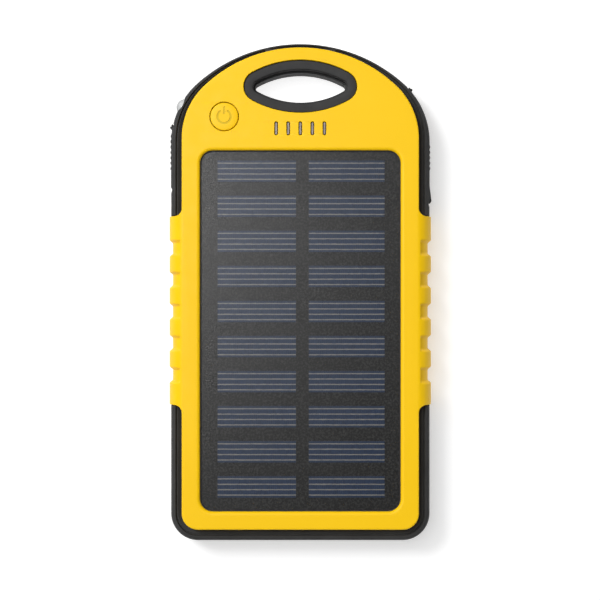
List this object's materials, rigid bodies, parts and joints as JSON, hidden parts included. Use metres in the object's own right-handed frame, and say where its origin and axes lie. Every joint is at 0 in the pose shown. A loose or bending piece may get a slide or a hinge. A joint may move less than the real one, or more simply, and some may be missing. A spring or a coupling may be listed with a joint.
{
  "type": "solar phone charger",
  "caption": "Flat rugged pocket battery pack with an arched end and carry loop, a solar panel on the front, a rubber bumper with port covers, ribbed side grips and a push button.",
  "frame": {"origin": "centre of the footprint, on the plane that the back rests on", "axes": "+Z out of the solar face, +Y towards the carry loop, +X towards the two-socket side"},
  "size_m": [0.075, 0.142, 0.014],
  "materials": {
    "yellow_shell": "fine satin moulded plastic",
    "bumper_rubber": "matt moulded rubber",
    "grip_inlay": "textured rubber",
    "panel_laminate": "dark speckled laminate",
    "panel_film": "clear satin film",
    "solar_cell": "blue silicon with printed silver lines",
    "gasket_rubber": "matt",
    "clear_lens": "clear moulded",
    "smoke_plastic": "smoky translucent",
    "circuit_board": "solder mask",
    "plated_steel": "nickel plated",
    "black_component": "moulded black",
    "led_body": "white ceramic",
    "battery_foil": "laminated foil pouch",
    "foam": "open-cell foam",
    "red_wire": "silicone insulation",
    "black_wire": "silicone insulation"
  },
  "bodies": {
    "case": {"front_shell": "yellow_shell", "rear_shell": "yellow_shell", "rear_inlay": "grip_inlay", "mid_frame": "bumper_rubber", "solar_backsheet": "panel_laminate", "solar_film": "panel_film", "panel_gasket": "gasket_rubber", "solar_cell_r1_c1": "solar_cell", "solar_cell_r1_c2": "solar_cell", "solar_cell_r2_c1": "solar_cell", "solar_cell_r2_c2": "solar_cell", "solar_cell_r3_c1": "solar_cell", "solar_cell_r3_c2": "solar_cell", "solar_cell_r4_c1": "solar_cell", "solar_cell_r4_c2": "solar_cell", "solar_cell_r5_c1": "solar_cell", "solar_cell_r5_c2": "solar_cell", "solar_cell_r6_c1": "solar_cell", "solar_cell_r6_c2": "solar_cell", "solar_cell_r7_c1": "solar_cell", "solar_cell_r7_c2": "solar_cell", "solar_cell_r8_c1": "solar_cell", "solar_cell_r8_c2": "solar_cell", "solar_cell_r9_c1": "solar_cell", "solar_cell_r9_c2": "solar_cell", "solar_cell_r10_c1": "solar_cell", "solar_cell_r10_c2": "solar_cell", "tact_switch_body": "black_component", "light_guide": "smoke_plastic", "indicator_led_1": "led_body", "indicator_led_2": "led_body", "indicator_led_3": "led_body", "indicator_led_4": "led_body", "indicator_led_5": "led_body", "torch_led": "clear_lens", "torch_led_anode": "plated_steel", "torch_led_cathode": "plated_steel", "main_board": "circuit_board", "boost_inductor": "black_component", "controller_chip": "black_component", "usb_socket_1_shell": "plated_steel", "usb_socket_2_shell": "plated_steel", "micro_usb_shell": "plated_steel", "usb_socket_1_tongue": "black_component", "usb_socket_2_tongue": "black_component", "micro_usb_tongue": "black_component", "battery_cell": "battery_foil", "battery_foam_pad": "foam", "battery_lead_positive": "red_wire", "solar_lead_positive": "red_wire", "battery_lead_negative": "black_wire", "solar_lead_negative": "black_wire", "case_screw_1": "plated_steel", "case_screw_2": "plated_steel", "case_screw_3": "plated_steel", "case_screw_4": "plated_steel"},
    "power_button": {"power_button": "yellow_shell"},
    "switch_plunger": {"tact_switch_plunger": "black_component"},
    "usb_cover": {"usb_cover": "bumper_rubber"},
    "micro_usb_cover": {"micro_usb_cover": "bumper_rubber"}
  },
  "joints": [
    {"name": "power_button_press", "type": "slide", "parent": "case", "child": "power_button", "axis": [0, 0, -1], "range_m": [0, 0.0004], "stiffness_N_per_m": 400},
    {"name": "switch_plunger_press", "type": "slide", "parent": "case", "child": "switch_plunger", "axis": [0, 0, -1], "range_m": [0, 0.0004]},
    {"name": "usb_cover_hinge", "type": "hinge", "parent": "case", "child": "usb_cover", "pos_m": [0.03114, 0.05805, 0.007], "axis": [0, 0, 1], "range_deg": [0, 100], "stiffness_Nm_per_rad": 0.002},
    {"name": "micro_usb_cover_hinge", "type": "hinge", "parent": "case", "child": "micro_usb_cover", "pos_m": [-0.03648, 0.04758, 0.007], "axis": [0, 0, -1], "range_deg": [0, 100], "stiffness_Nm_per_rad": 0.002}
  ],
  "couplings": [
    {"joint": "switch_plunger_press", "follows": "power_button_press", "ratio": 1}
  ]
}
